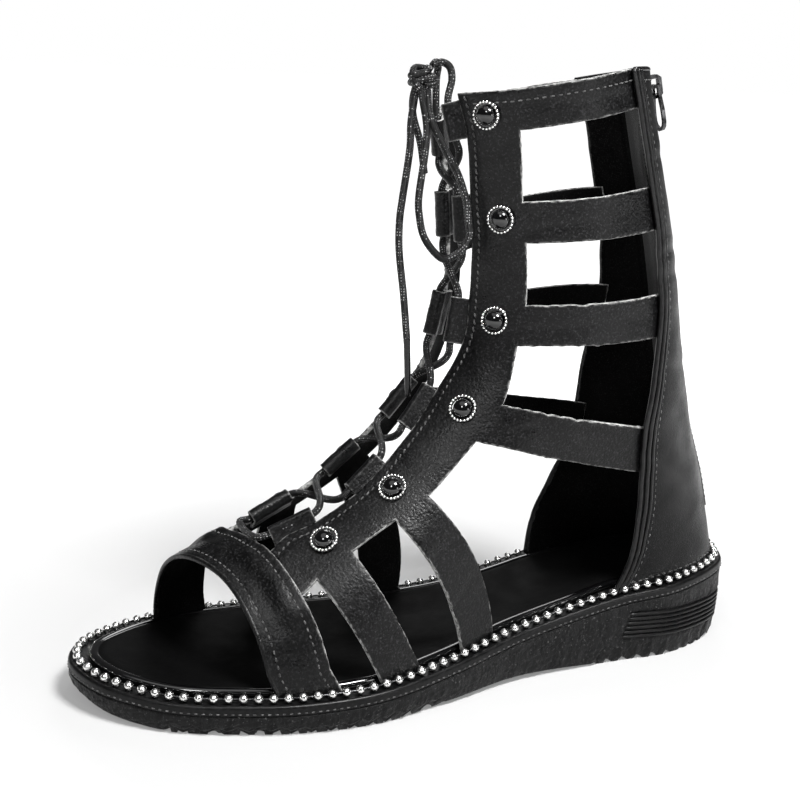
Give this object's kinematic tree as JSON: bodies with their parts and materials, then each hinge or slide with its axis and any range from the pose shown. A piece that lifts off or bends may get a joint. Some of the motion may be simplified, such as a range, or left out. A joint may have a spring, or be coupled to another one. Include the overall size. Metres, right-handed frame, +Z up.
{
  "type": "gladiator sandal",
  "caption": "Open-toed ankle-high strapped sandal with a closed heel, rear zip, laced front, studs at the lace loops and a chain of beads around the flat sole.",
  "frame": {"origin": "middle of the sole's outline box, on the ground the sandal stands on", "axes": "-Y towards the toe, +Y towards the heel, +X towards the outer (lateral) side of this left sandal, +Z up"},
  "size_m": [0.091, 0.2504, 0.2107],
  "materials": {
    "sole": "matt black rubber, bark-like texture",
    "insole": "satin black insole with a patent edge",
    "beads": "bright silver ball chain",
    "leather": "semi-gloss black leather, fine grain",
    "studs": "black glossy dome in a ring of fine silver beads",
    "zip_tape": "black zip tape with dark metal teeth",
    "zip_metal": "black enamelled slider and pull",
    "lace": "round black cord with silvery flecks",
    "lace_tip": "black plastic tip"
  },
  "bodies": {
    "sandal": {"outsole": "sole", "insole": "insole", "bead_chain": "beads", "upper": "leather", "lace_loop_outer_1": "leather", "lace_loop_inner_1": "leather", "lace_loop_outer_2": "leather", "lace_loop_inner_2": "leather", "lace_loop_outer_3": "leather", "lace_loop_inner_3": "leather", "lace_loop_outer_4": "leather", "lace_loop_inner_4": "leather", "lace_loop_outer_5": "leather", "lace_loop_inner_5": "leather", "lace_loop_outer_6": "leather", "lace_loop_inner_6": "leather", "stud_outer_1": "studs", "stud_inner_1": "studs", "stud_outer_2": "studs", "stud_inner_2": "studs", "stud_outer_3": "studs", "stud_inner_3": "studs", "stud_outer_4": "studs", "stud_inner_4": "studs", "stud_outer_5": "studs", "stud_inner_5": "studs", "stud_outer_6": "studs", "stud_inner_6": "studs", "zip_chain": "zip_tape", "zip_slider": "zip_metal", "lace": "lace", "lace_knot": "lace", "lace_bow_loop": "lace", "lace_end_long": "lace", "lace_end_short": "lace", "lace_tip": "lace_tip"},
    "pull_tab": {"zip_pull": "zip_metal"}
  },
  "joints": [
    {"name": "pull_tab_hinge", "type": "hinge", "parent": "sandal", "child": "pull_tab", "pos_m": [-0.00344, 0.08129, 0.20493], "axis": [1, 0, 0], "range_deg": [0, 165]}
  ]
}
